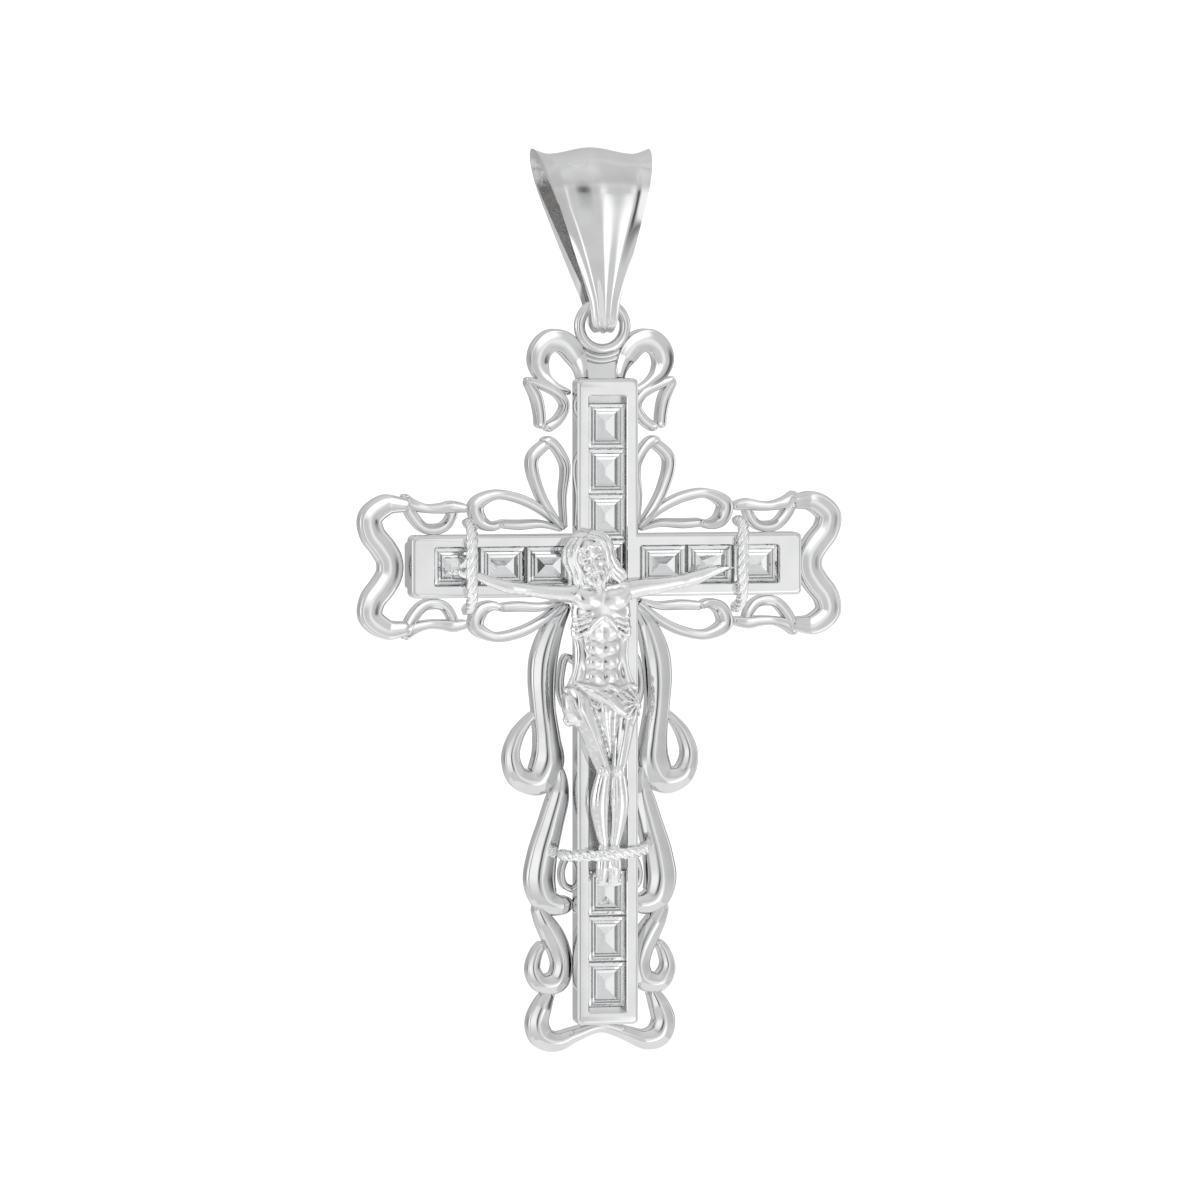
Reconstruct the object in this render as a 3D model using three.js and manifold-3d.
// A crucifix pendant in white metal, in millimetres, +Z up, front facing -Y.
// A channel-set cross sits on a layer of filigree ribbons, carries a cast figure tied on by three
// rope bands, and hangs by a fixed ring from a tapered bail that swings on the ring.
// The design height 0 is the middle of the crossing; the finished group is lowered so that the
// origin is the place inside the bail where the neck chain bears.

import * as THREE from 'three';
import { mergeVertices } from 'three/addons/utils/BufferGeometryUtils.js';
import Module from 'manifold-3d';

const wasm = await Module();
wasm.setup();

// ---- driving dimensions ----
const GAP = 0.06; // space left between pieces that are soldered together
const RIBBON_STEP = 0.9; // length of one facet along a ribbon

const FILIGREE_FRONT = -0.25; // crest of the ribbons
const FILIGREE_BACK = 1.75; // flat back of every ribbon
const THIN_HALF = 0.8; // ribbons with less half width than this lie lower in front
const THIN_DROP = 0.6;
const LOWER_FLIP = -0.2; // a height z above the arms is repeated at this minus z below them

const PLATE_HALF = 1.95; // half of the back plate's width
const PLATE_FOOT = -37.9;
const PLATE_INSET = 0.3; // how far plates stop short of the cross's top
const CREST_EDGE = [[1.1, 15.2], [1.35, 16.6], [2.1, 18.3]]; // half width at each height

const BOX_BACK = -0.3; // back of the channel cross
const BOX_FRONT = -2.4;
const BOX_HALF = 2.6; // half of the bar's width
const BOX_TOP = 15.5;
const BOX_FOOT = -38.3;
const ARM_END = 16.55;
const BOX_BEVEL = 0.22;
const BOX_ROUND = 0.45;
const CHANNEL_ROUND = 0.3;
const CHANNEL_HALF = 1.6;
const CHANNEL_FLOOR = -0.9;
const CHANNEL_TOP = 14.1;
const CHANNEL_FOOT = -37.3;
const ARM_CHANNEL_START = 2.75;
const ARM_CHANNEL_END = 14.6;

const STONE_WIDTH = 2.96; // across the channel
const STONE_LENGTH = 3.56; // along the channel
const TOP_STONES = [11.55, 7.77, 3.99, 0.2];
const FOOT_STONES = [-27.3, -31.15, -35.0];
const ARM_STONES = [4.85, 8.8, 12.7];

const RING_HEIGHT = 19.8; // middle of the hanging ring
const RING_RADIUS = 1.93; // to the middle of its wire
const RING_WIRE = 0.475; // radius of the wire
const RING_HOLE = RING_RADIUS - RING_WIRE;
const PIVOT_HEIGHT = RING_HEIGHT + RING_RADIUS;

const BAIL_LEAN = -0.07; // sideways drift of the bail per unit of height
const BAIL_SHIFT = -0.12;
const BAIL_CROWN = 30.95; // middle of the bail's round top
const BAIL_CROWN_INNER = 2.84;
const BAIL_CROWN_OUTER = 3.17;
const BAIL_BULGE = 8 * Math.PI / 180; // how far the sides turn before they meet crown and toe
const BAIL_TOE = 20.4; // middle of the round at the bail's lower tip
const BAIL_TOE_OUTER = 1.1;
const BAIL_SEAT = 22.04; // middle of the round that the ring's wire lies in
const BAIL_SEAT_INNER = 1.0;
const BAIL_SWELL = 0.6; // how far the middle stands above the two grooves
const BAIL_FLARE = 0.45; // how far the edges stand above the two grooves
const BAIL_GROOVE = 0.72; // grooves, as a fraction of the half width
const SIDE_SPANS = 6; // facets along each side of the bail
const BAIL_FULL_HALF = 5.1; // half width at which the flutes have their full depth
const BAIL_WIDTHS = [[19.3, 1.5], [20.2, 2.2], [21.9, 2.6], [28, 6.2], [34.7, 10.2]];

// Where the chain bears: under the bail's crown.
const BEARING_HEIGHT = BAIL_CROWN + BAIL_CROWN_INNER;

const ROPE_RADIUS = 0.5;
const ROPE_PITCH = 4.4; // length of one turn of the twist
const ROPE_STEP = 0.42;
const ROPE_SIDES = 9;
const ROPE_HOLLOW = 0.78; // radius in the hollows between the strands, as a fraction

// Each band passes over the figure and round both edges of the bar to the filigree behind it.
const ROPES = [
  ['wrist_rope_left', [[-11.35, 0.3, 3.55], [-11.4, -1.6, 3.25], [-11.6, -3.1, 2.3], [-11.75, -3.55, 0],
    [-11.6, -3.1, -2.3], [-11.5, -1.6, -3.3], [-11.45, 0.3, -3.7]]],
  ['wrist_rope_right', [[11.6, 0.3, 3.55], [11.65, -1.6, 3.25], [11.35, -3.1, 2.3], [11.2, -3.6, 0],
    [11.3, -3.1, -2.3], [11.4, -1.6, -3.3], [11.45, 0.3, -3.7]]],
  ['ankle_rope', [[-3.35, 0.2, -24.2], [-3.3, -1.6, -24.15], [-2.3, -3.1, -24.05], [-0.3, -4.05, -23.95],
    [1.9, -3.2, -23.85], [3.25, -1.6, -23.75], [3.4, 0.2, -23.75]]],
];

// ---- materials ----
const METAL = { color: 0xd9dadc, roughness: 0.12, metalness: 1 };
const CAST = { color: 0xd2d3d6, roughness: 0.28, metalness: 1 };
const STONE = { color: 0xf4f7fa, roughness: 0.02, metalness: 0 };

const cross = new THREE.Group();

function place(group, name, geometry, look) {
  const material = new THREE.MeshStandardMaterial(look);
  const mesh = new THREE.Mesh(geometry, material);
  mesh.name = name;
  group.add(mesh);
  return mesh;
}

// ---- solids ----
function toSolid(geometry) {
  const bare = geometry.clone();
  bare.deleteAttribute('normal');
  bare.deleteAttribute('uv');
  const merged = mergeVertices(bare, 1e-5);
  const vertProperties = new Float32Array(merged.attributes.position.array);
  const triVerts = new Uint32Array(merged.index.array);
  return new wasm.Manifold(new wasm.Mesh({ numProp: 3, vertProperties, triVerts }));
}

function toGeometry(solid) {
  const mesh = solid.getMesh();
  const geometry = new THREE.BufferGeometry();
  geometry.setAttribute('position', new THREE.BufferAttribute(new Float32Array(mesh.vertProperties), 3));
  geometry.setIndex(new THREE.BufferAttribute(new Uint32Array(mesh.triVerts), 1));
  return geometry;
}

function largestPart(solid) {
  const parts = solid.decompose();
  parts.sort((a, b) => b.volume() - a.volume());
  return parts[0];
}

function signedVolume(positions, index) {
  let volume = 0;
  const corner = [0, 1, 2].map(() => new THREE.Vector3());
  for (let i = 0; i < index.length; i += 3) {
    for (let k = 0; k < 3; k += 1) {
      corner[k].fromArray(positions, 3 * index[i + k]);
    }
    volume += corner[0].dot(corner[1].clone().cross(corner[2])) / 6;
  }
  return volume;
}

// A closed skin through a row of rings that all have the same number of points.
function loft(rings, closed) {
  const count = rings[0].length;
  const positions = rings.flat().flatMap((p) => [p.x, p.y, p.z]);
  const index = [];
  const spans = closed ? rings.length : rings.length - 1;
  for (let r = 0; r < spans; r += 1) {
    const a = r * count;
    const b = ((r + 1) % rings.length) * count;
    for (let k = 0; k < count; k += 1) {
      const n = (k + 1) % count;
      index.push(a + k, b + k, b + n, a + k, b + n, a + n);
    }
  }
  if (!closed) {
    const last = (rings.length - 1) * count;
    for (let k = 1; k < count - 1; k += 1) {
      index.push(0, k, k + 1, last, last + k + 1, last + k);
    }
  }
  if (signedVolume(positions, index) < 0) {
    for (let i = 0; i < index.length; i += 3) {
      [index[i + 1], index[i + 2]] = [index[i + 2], index[i + 1]];
    }
  }
  const geometry = new THREE.BufferGeometry();
  geometry.setAttribute('position', new THREE.Float32BufferAttribute(positions, 3));
  geometry.setIndex(index);
  return geometry;
}

function upright(shape, back, front, bevel = 0) {
  // A flat outline drawn in X and Z, standing from the back plane to the front plane.
  const geometry = new THREE.ExtrudeGeometry(shape, {
    depth: back - front - 2 * bevel,
    curveSegments: 3,
    bevelEnabled: bevel > 0,
    bevelThickness: bevel,
    bevelSize: bevel,
    bevelOffset: -bevel,
    bevelSegments: 1,
  });
  geometry.rotateX(Math.PI / 2);
  geometry.translate(0, back - bevel, 0);
  return geometry;
}

function roundedRect(left, right, low, high, radius) {
  const shape = new THREE.Shape();
  shape.moveTo(left + radius, low);
  shape.lineTo(right - radius, low);
  shape.absarc(right - radius, low + radius, radius, -Math.PI / 2, 0);
  shape.lineTo(right, high - radius);
  shape.absarc(right - radius, high - radius, radius, 0, Math.PI / 2);
  shape.lineTo(left + radius, high);
  shape.absarc(left + radius, high - radius, radius, Math.PI / 2, Math.PI);
  shape.lineTo(left, low + radius);
  shape.absarc(left + radius, low + radius, radius, Math.PI, 1.5 * Math.PI);
  return shape;
}

// ---- filigree ribbons ----
// A ribbon runs along points [x, z, half width]. Its back is flat and its front is rounded over.
function ribbon(points, side, grow) {
  const nodes = points.map(([x, z, half]) => new THREE.Vector3(side * x, z, half));
  const curve = new THREE.CatmullRomCurve3(nodes, false, 'centripetal');
  const steps = Math.max(4, Math.round(curve.getLength() / RIBBON_STEP));
  const rings = [];
  for (let i = 0; i <= steps; i += 1) {
    const t = i / steps;
    const p = curve.getPointAt(t);
    const along = curve.getTangentAt(t).setZ(0).normalize();
    const end = i === 0 ? -1 : Number(i === steps);
    p.addScaledVector(along, end * grow);
    const half = p.z + grow;
    const thin = THIN_DROP * (1 - Math.min(1, p.z / THIN_HALF));
    const back = FILIGREE_BACK + grow;
    const front = FILIGREE_FRONT + thin - grow;
    const shoulder = front + 0.45 * (back - front);
    const section = [
      [-0.9, back], [0.9, back], [1, shoulder], [0.5, front], [-0.5, front], [-1, shoulder],
    ];
    rings.push(section.map(([s, y]) => new THREE.Vector3(
      p.x - along.y * s * half,
      y,
      p.y + along.x * s * half,
    )));
  }
  return toSolid(loft(rings, false));
}

function ribbons(strips, side, grow) {
  return strips.map((points) => ribbon(points, side, grow)).reduce((a, b) => a.add(b));
}

const placed = []; // grown copies of the filigree pieces made so far, which later pieces clear

function addFiligree(name, make) {
  let solid = make(0);
  for (const other of placed) {
    solid = solid.subtract(other);
  }
  place(cross, name, toGeometry(largestPart(solid)), METAL);
  placed.push(make(GAP));
}

function below(strips) {
  return strips.map((points) => points.map(([x, z, half]) => [x, LOWER_FLIP - z, half]));
}

// Outlines of the right-hand half, each a list of strips.
const CREST_LOOP = [[
  [1.45, 14.9, 0.4], [1.68, 16.2, 0.55], [2.2, 17.35, 0.85], [3.1, 18.4, 0.95], [4.15, 18.6, 0.95],
  [5.0, 17.95, 0.9], [5.3, 16.9, 0.83], [4.95, 15.8, 0.65], [4.0, 14.95, 0.35], [2.6, 14.2, 0.25],
]];
const CREST_THORN = [
  [[6.35, 15.4, 0.28], [5.1, 14.95, 0.36], [3.6, 14.15, 0.38], [3.05, 13.2, 0.38], [3.6, 12.05, 0.4],
    [4.75, 11.2, 0.42]],
  [[6.3, 15.3, 0.28], [5.55, 14.1, 0.45], [5.2, 12.7, 0.45], [5.1, 11.3, 0.42]],
];
const UPPER_LEAF = [
  [[3.05, 3.0, 0.22], [3.2, 5.6, 0.3], [3.05, 8.4, 0.4], [4.4, 10.25, 0.42], [5.0, 9.95, 0.44]],
  [[4.4, 10.25, 0.42], [5.8, 8.8, 0.48], [5.3, 6.2, 0.42], [4.0, 3.9, 0.34], [3.1, 2.9, 0.22]],
];
const ARM_LEAF = [
  [[3.2, 2.95, 0.22], [5.0, 4.5, 0.36], [7.0, 5.5, 0.42], [9.1, 5.8, 0.42], [10.6, 4.9, 0.6],
    [10.2, 3.6, 0.58], [9.2, 3.2, 0.4], [8.4, 3.45, 0.3]],
  [[3.3, 2.85, 0.2], [5.0, 3.35, 0.34], [7.0, 3.3, 0.42], [8.7, 3.4, 0.36]],
];
const ARM_THORN = [
  [[16.75, 5.85, 0.32], [15.9, 5.05, 0.46], [14.7, 4.72, 0.38], [13.6, 4.72, 0.42], [12.5, 4.85, 0.5],
    [11.2, 4.65, 0.32]],
  [[16.65, 5.7, 0.32], [16.05, 4.3, 0.45], [15.1, 3.2, 0.44], [14.25, 2.98, 0.46], [13.3, 3.2, 0.42],
    [12.7, 3.95, 0.4], [12.45, 4.85, 0.4]],
];
const ARM_SCROLL_HALF = [
  [16.1, 4.9, 0.5], [17.0, 5.05, 0.64], [18.2, 5.05, 0.85], [19.5, 4.0, 0.98], [19.35, 2.7, 1.0],
  [18.45, 1.5, 1.02], [17.9, 0.5, 1.02],
];
const SIDE_RIBBON = [[
  [2.75, -3.3, 0.35], [4.0, -5.3, 0.85], [4.75, -7.6, 1.12], [4.95, -9.6, 1.1], [4.85, -12, 1.0],
  [4.55, -14.6, 1.12], [4.5, -16.6, 1.38], [5.4, -18.1, 1.2], [6.95, -17.75, 0.9], [7.6, -16.1, 0.7],
  [7.1, -14.3, 0.55], [6.15, -13.0, 0.38], [5.5, -12.4, 0.3],
]];
const INNER_SCROLL = [[
  [2.05, -8.3, 0.3], [2.9, -7.75, 0.28], [3.35, -9.3, 0.24], [3.35, -10.7, 0.3], [2.85, -11.8, 0.42],
  [2.05, -12.3, 0.45],
]];
const LOWER_RIBBON = [[
  [3.6, -16.9, 0.35], [3.4, -18.0, 0.55], [3.6, -19.4, 0.88], [4.2, -21.6, 1.02], [4.95, -24.5, 1.22],
  [5.15, -26.6, 1.3], [4.6, -28.1, 1.12], [3.5, -28.5, 0.85], [2.4, -28.2, 0.6],
]];
const LOWER_INNER_SCROLL = [[
  [2.05, -24.9, 0.26], [2.75, -24.5, 0.24], [3.3, -25.6, 0.22], [3.1, -26.8, 0.28], [2.05, -27.3, 0.32],
]];
const FOOT_CURL = [[
  [5.5, -28.4, 0.45], [4.85, -29.7, 0.75], [4.1, -31.0, 0.95], [3.5, -32.4, 0.92], [3.3, -33.7, 0.88],
  [3.75, -34.9, 0.95], [5.05, -35.05, 0.8], [5.75, -33.9, 0.62], [5.45, -32.5, 0.48], [4.85, -31.6, 0.35],
]];
const FOOT_CREST_HALF = [
  [4.2, -35.5, 0.4], [4.95, -36.9, 0.78], [5.4, -38.4, 0.95], [4.95, -39.55, 1.0], [3.8, -39.92, 0.85],
  [2.3, -39.42, 0.62],
];

function mirrored(half, middle) {
  const left = half.map(([x, z, w]) => [-x, z, w]);
  return [[...left, ...middle, ...[...half].reverse()]];
}

function backPlate() {
  const half = PLATE_HALF;
  const top = BOX_TOP - PLATE_INSET;
  const shape = new THREE.Shape();
  const corners = [
    [-half, -half], [-half, PLATE_FOOT], [half, PLATE_FOOT], [half, -half],
    [ARM_END, -half], [ARM_END, half], [half, half], [half, top],
    [-half, top], [-half, half], [-ARM_END, half], [-ARM_END, -half],
  ];
  corners.forEach(([x, z], i) => (i ? shape.lineTo(x, z) : shape.moveTo(x, z)));
  return shape;
}

function addBackPlate() {
  const solid = toSolid(upright(backPlate(), FILIGREE_BACK, FILIGREE_FRONT));
  place(cross, 'back_plate', toGeometry(solid), METAL);
  placed.push(...[[-GAP, -GAP], [-GAP, GAP], [GAP, -GAP], [GAP, GAP]].map(([x, z]) => {
    const grown = upright(backPlate(), FILIGREE_BACK + GAP, FILIGREE_FRONT - GAP);
    return toSolid(grown.translate(x, 0, z));
  }));
}

// The plate between the crest loops is scooped out on top to hold the ring.
function crestPlate(grow) {
  const [low, waist, high] = CREST_EDGE;
  const shape = new THREE.Shape();
  shape.moveTo(-low[0] - grow, low[1] - grow);
  shape.lineTo(low[0] + grow, low[1] - grow);
  shape.lineTo(waist[0] + grow, waist[1]);
  shape.lineTo(high[0] + grow, high[1] + grow);
  shape.lineTo(-high[0] - grow, high[1] + grow);
  shape.lineTo(-waist[0] - grow, waist[1]);
  const plate = toSolid(upright(shape, FILIGREE_BACK + grow, FILIGREE_FRONT - grow));
  return plate.subtract(toSolid(ring(RING_WIRE + GAP))).subtract(ringHole());
}

function ring(wire) {
  const geometry = new THREE.TorusGeometry(RING_RADIUS, wire, 10, 28);
  geometry.rotateX(Math.PI / 2);
  geometry.translate(0, 0, RING_HEIGHT);
  return geometry;
}

function ringHole() {
  const bore = new THREE.CylinderGeometry(RING_RADIUS, RING_RADIUS, 8, 32);
  return toSolid(bore.translate(0, 0, RING_HEIGHT));
}

function addFiligreeLayer() {
  addBackPlate();
  addFiligree('crest_plate', crestPlate);
  for (const [word, side] of [['left', -1], ['right', 1]]) {
    addFiligree(`crest_loop_${word}`, (grow) => ribbons(CREST_LOOP, side, grow));
    addFiligree(`crest_thorn_${word}`, (grow) => ribbons(CREST_THORN, side, grow));
    addFiligree(`upper_leaf_${word}`, (grow) => ribbons(UPPER_LEAF, side, grow));
    const scroll = mirroredUp(ARM_SCROLL_HALF);
    addFiligree(`arm_scroll_${word}`, (grow) => ribbons(scroll, side, grow));
    for (const [level, leaf, thorn] of [
      ['upper', ARM_LEAF, ARM_THORN],
      ['lower', below(ARM_LEAF), below(ARM_THORN)],
    ]) {
      addFiligree(`arm_leaf_${level}_${word}`, (grow) => ribbons(leaf, side, grow));
      addFiligree(`arm_thorn_${level}_${word}`, (grow) => ribbons(thorn, side, grow));
    }
    addFiligree(`side_ribbon_${word}`, (grow) => ribbons(SIDE_RIBBON, side, grow));
    addFiligree(`inner_scroll_${word}`, (grow) => ribbons(INNER_SCROLL, side, grow));
    addFiligree(`lower_ribbon_${word}`, (grow) => ribbons(LOWER_RIBBON, side, grow));
    addFiligree(`lower_scroll_${word}`, (grow) => ribbons(LOWER_INNER_SCROLL, side, grow));
    addFiligree(`foot_curl_${word}`, (grow) => ribbons(FOOT_CURL, side, grow));
  }
  const crest = mirrored(FOOT_CREST_HALF, [[0, -38.75, 0.5]]);
  addFiligree('foot_crest', (grow) => ribbons(crest, 1, grow));
}

function mirroredUp(half) {
  return [[...half, ...below([half])[0].reverse()]];
}

// ---- channel cross and its stones ----
function crossBars(grow) {
  const bars = [
    roundedRect(-BOX_HALF - grow, BOX_HALF + grow, BOX_FOOT, BOX_TOP, BOX_ROUND),
    roundedRect(-ARM_END, ARM_END, -BOX_HALF - grow, BOX_HALF + grow, BOX_ROUND),
  ];
  const solids = bars.map((bar) => toSolid(upright(bar, BOX_BACK + grow, BOX_FRONT - grow, BOX_BEVEL)));
  return solids[0].add(solids[1]);
}

function addChannelCross() {
  const pocket = (left, right, low, high) => toSolid(
    upright(roundedRect(left, right, low, high, CHANNEL_ROUND), CHANNEL_FLOOR, BOX_FRONT - 1),
  );
  let solid = crossBars(0);
  solid = solid.subtract(pocket(-CHANNEL_HALF, CHANNEL_HALF, CHANNEL_FOOT, CHANNEL_TOP));
  solid = solid.subtract(pocket(ARM_CHANNEL_START, ARM_CHANNEL_END, -CHANNEL_HALF, CHANNEL_HALF));
  solid = solid.subtract(pocket(-ARM_CHANNEL_END, -ARM_CHANNEL_START, -CHANNEL_HALF, CHANNEL_HALF));
  place(cross, 'channel_cross', toGeometry(solid), METAL);
}

// Step-cut stone: rings of a rectangle, [fraction of the size taken off, depth].
function stone(width, height) {
  const steps = [[1.9, -0.97], [0.7, -1.4], [0, -1.8], [0.45, -2.05], [0.95, -2.2]];
  const rings = steps.map(([less, y]) => {
    const x = (width - less) / 2;
    const z = (height - less) / 2;
    return [[-x, -z], [x, -z], [x, z], [-x, z]].map(([a, b]) => new THREE.Vector3(a, y, b));
  });
  return loft(rings, false);
}

function addStones() {
  [...TOP_STONES, ...FOOT_STONES].forEach((z, i) => {
    const where = i < TOP_STONES.length ? `top_${i + 1}` : `foot_${i + 1 - TOP_STONES.length}`;
    const mesh = place(cross, `stone_${where}`, stone(STONE_WIDTH, STONE_LENGTH), STONE);
    mesh.position.z = z;
  });
  for (const [word, side] of [['left', -1], ['right', 1]]) {
    ARM_STONES.forEach((x, i) => {
      const mesh = place(cross, `stone_${word}_${i + 1}`, stone(STONE_LENGTH, STONE_WIDTH), STONE);
      mesh.position.x = side * x;
    });
  }
}

// ---- figure ----
// A limb runs through points [x, y, z, radius], as a smooth tube with closed ends.
function limb(points, sides = 7, spacing = 1.0) {
  const curve = new THREE.CatmullRomCurve3(points.map(([x, y, z]) => new THREE.Vector3(x, y, z)));
  const radii = new THREE.CatmullRomCurve3(points.map((p, i) => new THREE.Vector3(i, p[3], 0)));
  const steps = Math.max(3, Math.round(curve.getLength() / spacing));
  const rings = [];
  for (let i = 0; i <= steps; i += 1) {
    const t = i / steps;
    const p = curve.getPoint(t);
    const along = curve.getTangent(t).normalize();
    const across = new THREE.Vector3(0, 1, 0).cross(along).normalize();
    const out = along.clone().cross(across).normalize();
    const radius = radii.getPoint(t).y;
    rings.push(Array.from({ length: sides }, (_, k) => {
      const angle = 2 * Math.PI * k / sides;
      return p.clone().addScaledVector(across, radius * Math.cos(angle))
        .addScaledVector(out, radius * Math.sin(angle));
    }));
  }
  return toSolid(loft(rings, false));
}

function ellipsoid(x, y, z, rx, ry, rz, tilt = 0) {
  // Middle, half sizes, and a sideways tilt in radians.
  const ball = new THREE.SphereGeometry(1, 12, 7);
  ball.rotateX(Math.PI / 2);
  ball.scale(rx, ry, rz);
  ball.rotateY(tilt);
  return toSolid(ball.translate(x, y, z));
}

const FIGURE_BACK = BOX_FRONT - 0.05;

function addFigure() {
  const parts = [
    ellipsoid(-1.85, -4.0, 0.75, 1.75, 1.55, 2.2, -0.25), // head
    ellipsoid(-1.85, -3.4, 0.95, 2.45, 1.25, 2.3, -0.25), // hair
    limb([[-0.2, -3.5, 0.6, 0.8], [0.75, -3.3, -1.2, 0.6]]), // hair on the right shoulder
    limb([[-1.2, -3.2, -0.9, 0.8], [-0.9, -3.0, -2.6, 0.95]]), // neck
    ellipsoid(-0.75, -3.0, -3.4, 2.7, 1.3, 2.2), // chest
    ellipsoid(-0.75, -2.9, -6.6, 2.2, 1.2, 3.4), // belly
    ellipsoid(-0.8, -2.9, -10.6, 2.75, 1.25, 1.9), // hips
    limb([[-2.7, -3.0, -2.3, 0.95], [-5.0, -2.95, -2.15, 0.75], [-7.2, -2.95, -1.9, 0.62],
      [-9.4, -2.85, -1.5, 0.55], [-11.2, -2.8, -0.8, 0.4], [-12.8, -2.75, -0.2, 0.42]]),
    limb([[1.2, -3.0, -2.2, 0.95], [3.6, -2.95, -1.8, 0.75], [6.0, -2.95, -1.4, 0.62],
      [8.4, -2.85, -0.7, 0.55], [10.4, -2.8, 0.0, 0.4], [12.3, -2.75, 0.9, 0.42]]),
    limb([[-2.5, -3.2, -11.2, 1.1], [-1.75, -3.4, -14.2, 1.0], [-0.75, -3.7, -17.0, 0.75],
      [-1.1, -3.3, -19.6, 0.78], [-0.75, -3.1, -22.0, 0.6], [-0.4, -3.1, -24.2, 0.52]]),
    limb([[1.0, -3.2, -11.2, 1.1], [1.0, -3.4, -14.2, 1.0], [0.55, -3.7, -17.0, 0.75],
      [0.75, -3.3, -19.6, 0.78], [0.45, -3.1, -22.0, 0.6], [0.15, -3.1, -24.2, 0.52]]),
    limb([[-0.55, -3.1, -23.8, 0.55], [-0.6, -3.35, -25.4, 0.62], [-0.6, -3.2, -26.6, 0.4]]),
    limb([[0.2, -3.3, -23.8, 0.55], [0.2, -3.6, -25.2, 0.62], [0.2, -3.4, -26.5, 0.4]]),
    // loincloth: band round the hips, the fall between the thighs, and the knot
    ellipsoid(-0.9, -3.05, -11.9, 3.05, 1.55, 2.3),
    limb([[-1.4, -4.0, -12.2, 1.0], [-0.5, -4.1, -13.9, 0.8], [0.0, -3.9, -15.9, 0.4]]),
    ellipsoid(1.8, -3.5, -11.9, 0.8, 0.9, 1.45),
  ];
  const behind = new THREE.BoxGeometry(60, 10, 90).translate(0, FIGURE_BACK + 5, 0);
  let figure = parts.reduce((a, b) => a.add(b)).subtract(toSolid(behind));
  for (const [, path] of ROPES) {
    figure = figure.subtract(toSolid(rope(path, ROPE_RADIUS + GAP)));
  }
  place(cross, 'corpus', toGeometry(largestPart(figure)), CAST);
}

// ---- rope bands ----
function rope(path, radius) {
  const curve = new THREE.CatmullRomCurve3(path.map((p) => new THREE.Vector3(...p)));
  const length = curve.getLength();
  const steps = Math.round(length / ROPE_STEP);
  const frames = curve.computeFrenetFrames(steps, false);
  const rings = [];
  for (let i = 0; i <= steps; i += 1) {
    const p = curve.getPointAt(i / steps);
    const turn = 2 * Math.PI * (i / steps) * length / ROPE_PITCH;
    rings.push(Array.from({ length: ROPE_SIDES }, (_, k) => {
      const angle = 2 * Math.PI * k / ROPE_SIDES + turn;
      const r = radius * (k % 3 === 0 ? ROPE_HOLLOW : 1);
      return p.clone().addScaledVector(frames.normals[i], r * Math.cos(angle))
        .addScaledVector(frames.binormals[i], r * Math.sin(angle));
    }));
  }
  return loft(rings, false);
}

function addRopes() {
  for (const [name, path] of ROPES) {
    let solid = toSolid(rope(path, ROPE_RADIUS));
    for (const other of [crossBars(GAP), ...placed]) {
      solid = solid.subtract(other);
    }
    place(cross, name, toGeometry(largestPart(solid)), CAST);
  }
}

// ---- bail ----
// The bail is one fluted strap bent into a loop. Stations go round the loop seen from the side.
function bailStations(crownRadius, toeHeight, toeRadius) {
  const taper = Math.asin((crownRadius - toeRadius) / (BAIL_CROWN - toeHeight));
  const toeTurn = Math.PI / 2 - taper - BAIL_BULGE;
  const crownTurn = Math.PI / 2 - taper + BAIL_BULGE;
  const onArc = (height, radius, angle) => new THREE.Vector2(
    radius * Math.sin(angle),
    height - radius * Math.cos(angle),
  );
  const stations = [];
  const add = (point, angle) => {
    stations.push({ y: point.x, z: point.y, ny: Math.sin(angle), nz: -Math.cos(angle) });
  };
  const arc = (height, radius, from, to, count) => {
    for (let i = 0; i <= count; i += 1) {
      const angle = from + (to - from) * i / count;
      add(onArc(height, radius, angle), angle);
    }
  };
  // The sides bow out gently: a cubic that leaves the toe and meets the crown in line with them.
  const side = (sign) => {
    const start = onArc(toeHeight, toeRadius, toeTurn);
    const end = onArc(BAIL_CROWN, crownRadius, crownTurn);
    const reach = start.distanceTo(end) / 3;
    const curve = new THREE.CubicBezierCurve(
      start,
      start.clone().add(new THREE.Vector2(Math.cos(toeTurn), Math.sin(toeTurn)).multiplyScalar(reach)),
      end.clone().sub(new THREE.Vector2(Math.cos(crownTurn), Math.sin(crownTurn)).multiplyScalar(reach)),
      end,
    );
    for (let i = 1; i < SIDE_SPANS; i += 1) {
      const t = sign > 0 ? i / SIDE_SPANS : 1 - i / SIDE_SPANS;
      const point = curve.getPoint(t);
      const along = curve.getTangent(t);
      stations.push({ y: sign * point.x, z: point.y, ny: sign * along.y, nz: -along.x });
    }
  };
  arc(toeHeight, toeRadius, -toeTurn, toeTurn, 8);
  side(1);
  arc(BAIL_CROWN, crownRadius, crownTurn, 2 * Math.PI - crownTurn, 16);
  side(-1);
  return stations;
}

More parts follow.
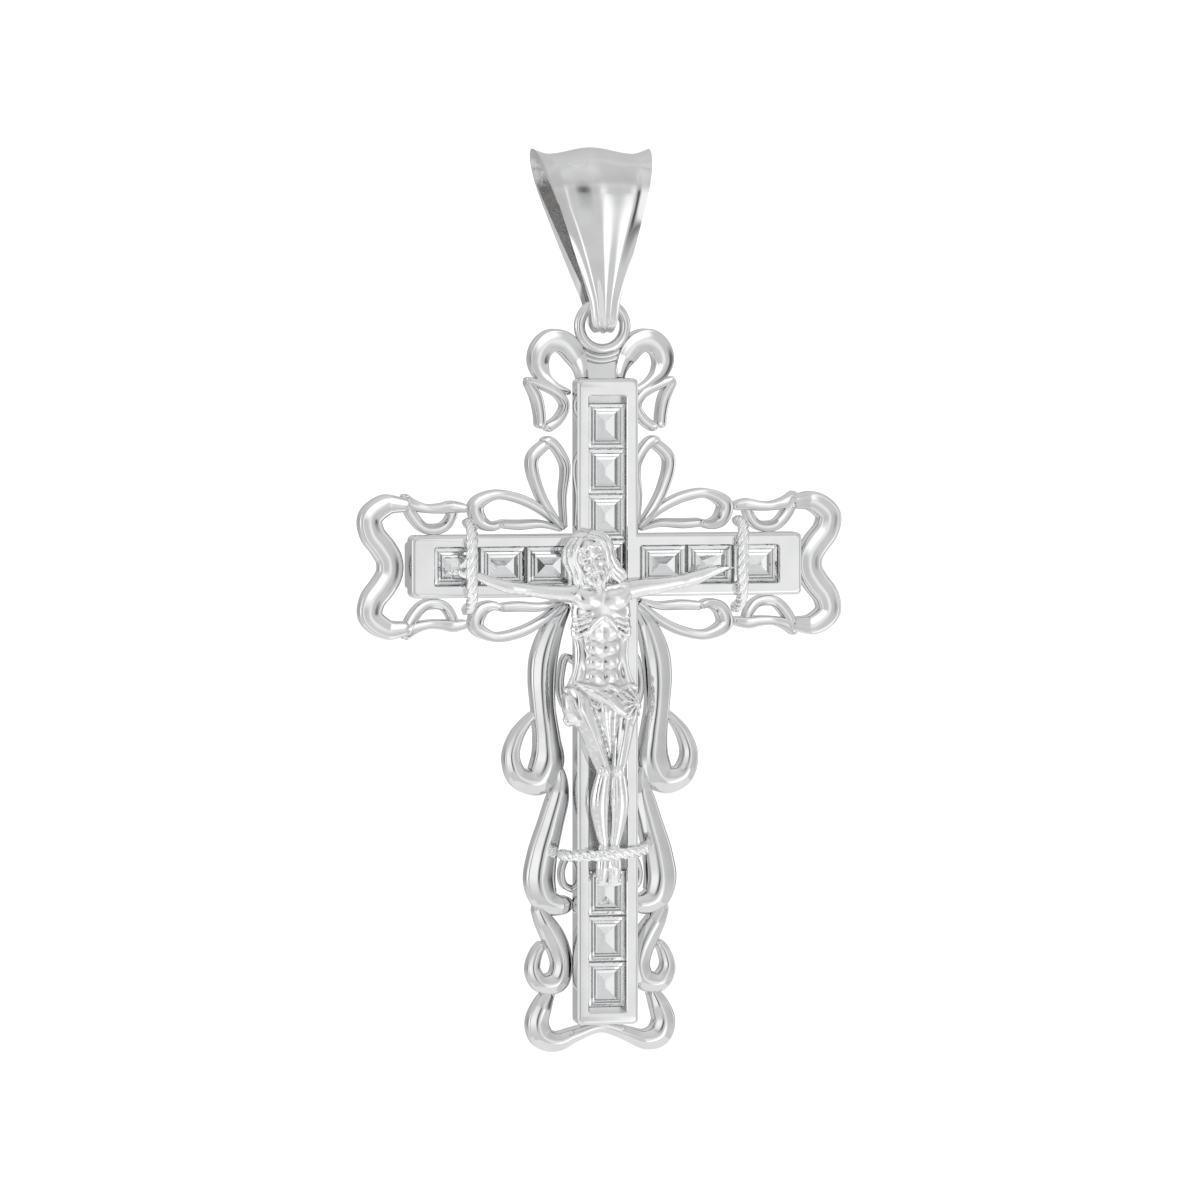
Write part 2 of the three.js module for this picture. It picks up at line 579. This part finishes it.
function bailWidth(z) {
  const found = BAIL_WIDTHS.findIndex(([height]) => height >= z);
  const i = found < 0 ? BAIL_WIDTHS.length - 1 : Math.max(1, found);
  const [z0, w0] = BAIL_WIDTHS[i - 1];
  const [z1, w1] = BAIL_WIDTHS[i];
  return w0 + (w1 - w0) * THREE.MathUtils.clamp((z - z0) / (z1 - z0), 0, 1);
}

function flute(u) {
  // Height above the groove at the fraction u of the half width.
  const a = Math.abs(u);
  if (a < BAIL_GROOVE) {
    return BAIL_SWELL * Math.cos(Math.PI / 2 * a / BAIL_GROOVE);
  }
  return BAIL_FLARE * (a - BAIL_GROOVE) / (1 - BAIL_GROOVE);
}

function addBail(group) {
  const outer = bailStations(BAIL_CROWN_OUTER, BAIL_TOE, BAIL_TOE_OUTER);
  const inner = bailStations(BAIL_CROWN_INNER, BAIL_SEAT, BAIL_SEAT_INNER);
  const across = [-1, -BAIL_GROOVE, -BAIL_GROOVE / 2, 0, BAIL_GROOVE / 2, BAIL_GROOVE, 1];
  // The strap's inside bears on the ring only this far out from its middle line.
  const bearing = 1.26;
  const rings = outer.map((out, i) => {
    const inn = inner[i];
    const half = bailWidth(out.z) / 2;
    const depth = half / BAIL_FULL_HALF;
    const front = across.map((u) => new THREE.Vector3(
      u * half,
      out.y + out.ny * flute(u) * depth,
      out.z + out.nz * flute(u) * depth,
    ));
    const low = Math.max(0, -inn.nz) ** 2 * (inn.z < BAIL_SEAT ? 1 : 0);
    const back = [...across].reverse().map((u) => {
      const x = u * half;
      const drop = RING_HOLE - Math.sqrt(RING_HOLE ** 2 - Math.min(Math.abs(x), bearing) ** 2);
      return new THREE.Vector3(x, inn.y, inn.z - low * drop);
    });
    return [...front, ...back];
  });
  for (const point of rings.flat()) {
    point.x += BAIL_SHIFT + BAIL_LEAN * (point.z - PIVOT_HEIGHT);
  }
  place(group, 'bail', loft(rings, true), METAL);
}

// ---- assembly ----
addFiligreeLayer();
addChannelCross();
addStones();
addFigure();
addRopes();
place(cross, 'hanging_ring', ring(RING_WIRE), METAL);

const pendant = new THREE.Group();
pendant.add(cross);
addBail(pendant);
pendant.position.z = -BEARING_HEIGHT;

export default pendant;
